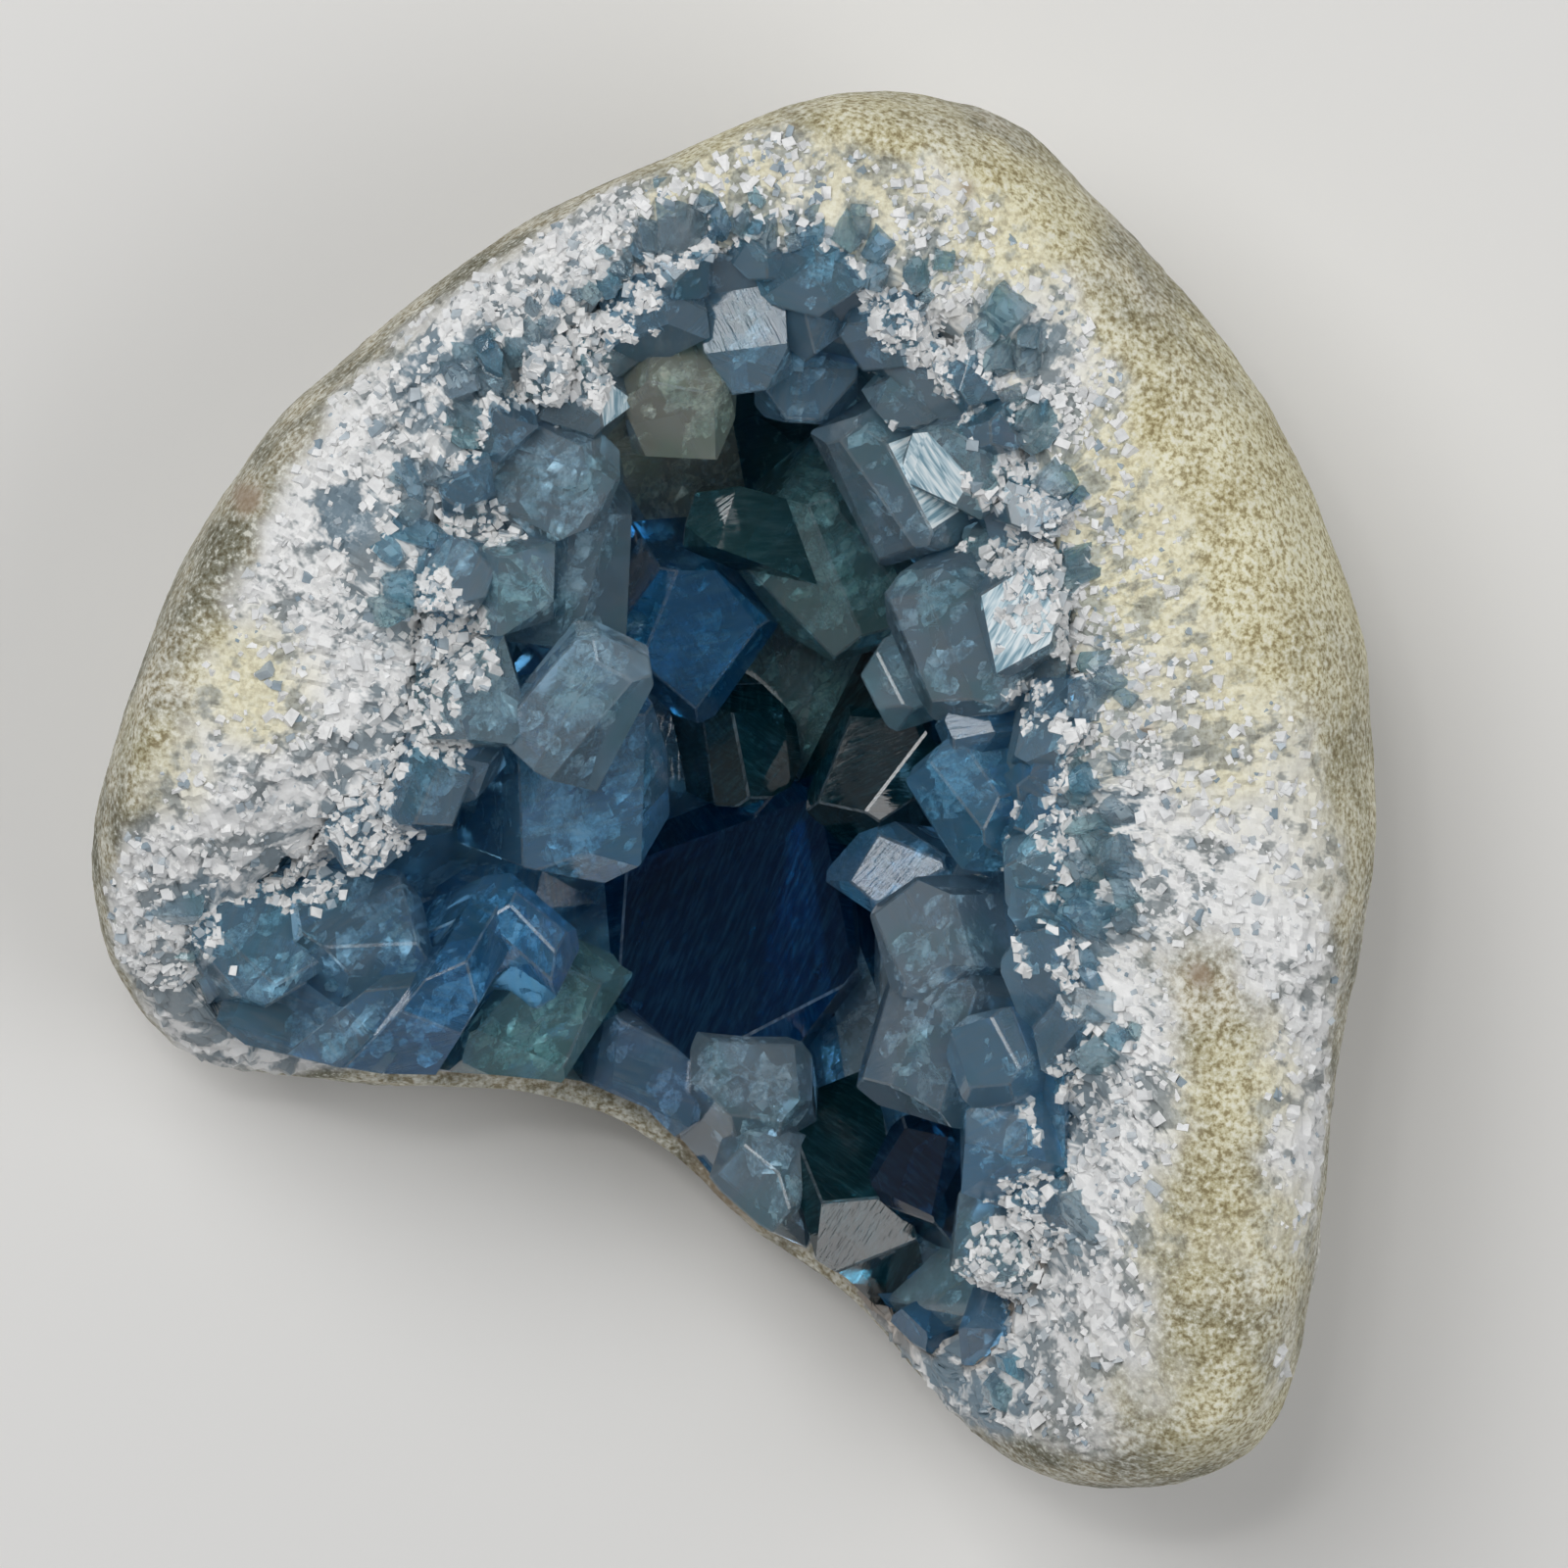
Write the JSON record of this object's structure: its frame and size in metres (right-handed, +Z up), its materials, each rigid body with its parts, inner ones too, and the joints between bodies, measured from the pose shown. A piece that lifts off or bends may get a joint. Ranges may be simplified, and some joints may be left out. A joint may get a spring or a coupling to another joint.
{
  "type": "celestite geode",
  "caption": "Broken-open geode on its back: a rounded pale stone nodule with a sugary white rim around a hollow lined with blocky see-through blue celestite crystals.",
  "frame": {"origin": "under the middle of the bounding box, on the surface that the geode rests on", "axes": "+Z up out of the open hollow; +Y from the broken front edge to the top of the arch; +X to the right of the picture"},
  "size_m": [0.1324, 0.143, 0.0669],
  "materials": {
    "stone": "matte, sugary on the broken rim",
    "celestite": "glassy, see-through"
  },
  "bodies": {
    "root": {"stone_nodule": "stone", "crystal_crust": "celestite"}
  },
  "joints": []
}
